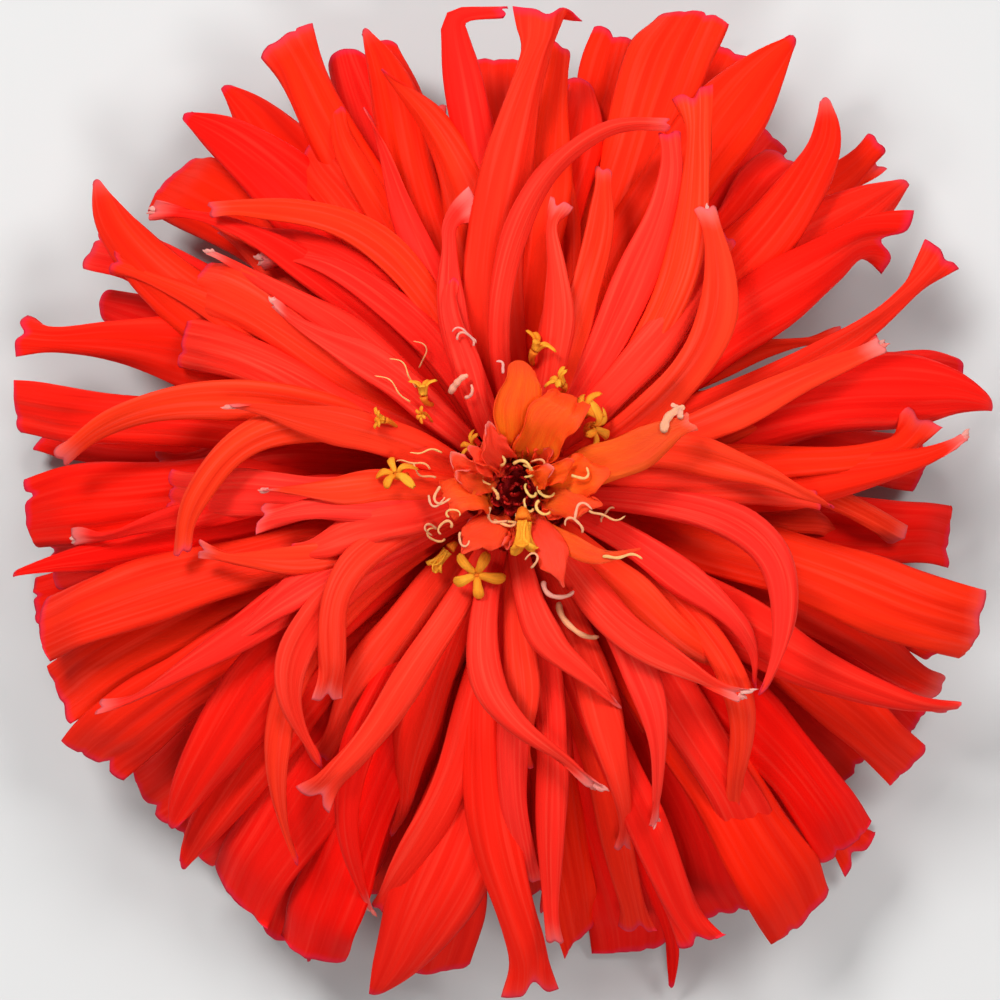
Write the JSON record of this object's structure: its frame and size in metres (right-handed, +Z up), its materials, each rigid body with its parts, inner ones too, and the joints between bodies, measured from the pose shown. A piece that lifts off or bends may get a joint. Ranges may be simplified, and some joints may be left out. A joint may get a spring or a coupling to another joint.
{
  "type": "zinnia flower",
  "caption": "Scarlet cactus-flowered double zinnia, picked with a short cut stub of stem and resting face up on its outer rays.",
  "frame": {"origin": "centre of the flower's box seen from above, on the surface it rests on", "axes": "+Z up along the stem towards the face of the flower, +Y towards the side that spreads flatter, the side at -Y hangs lower"},
  "size_m": [0.109, 0.1104, 0.0461],
  "materials": {
    "ray_scarlet": "soft satin petal with faint lengthwise ribs",
    "ray_orange": "thin satin petal, orange with a yellow base",
    "disc_maroon": "dark matt maroon scales",
    "floret_yellow": "waxy yellow disc florets",
    "style_cream": "pale curly styles and dried petal ends",
    "bract_green": "matt green bracts with dark margins",
    "stem_green": "pale green stem with fine hairs"
  },
  "bodies": {
    "root": {"ray_florets": "ray_scarlet", "young_rays": "ray_orange", "disc": "disc_maroon", "involucre": "bract_green", "stem": "stem_green"}
  },
  "joints": []
}
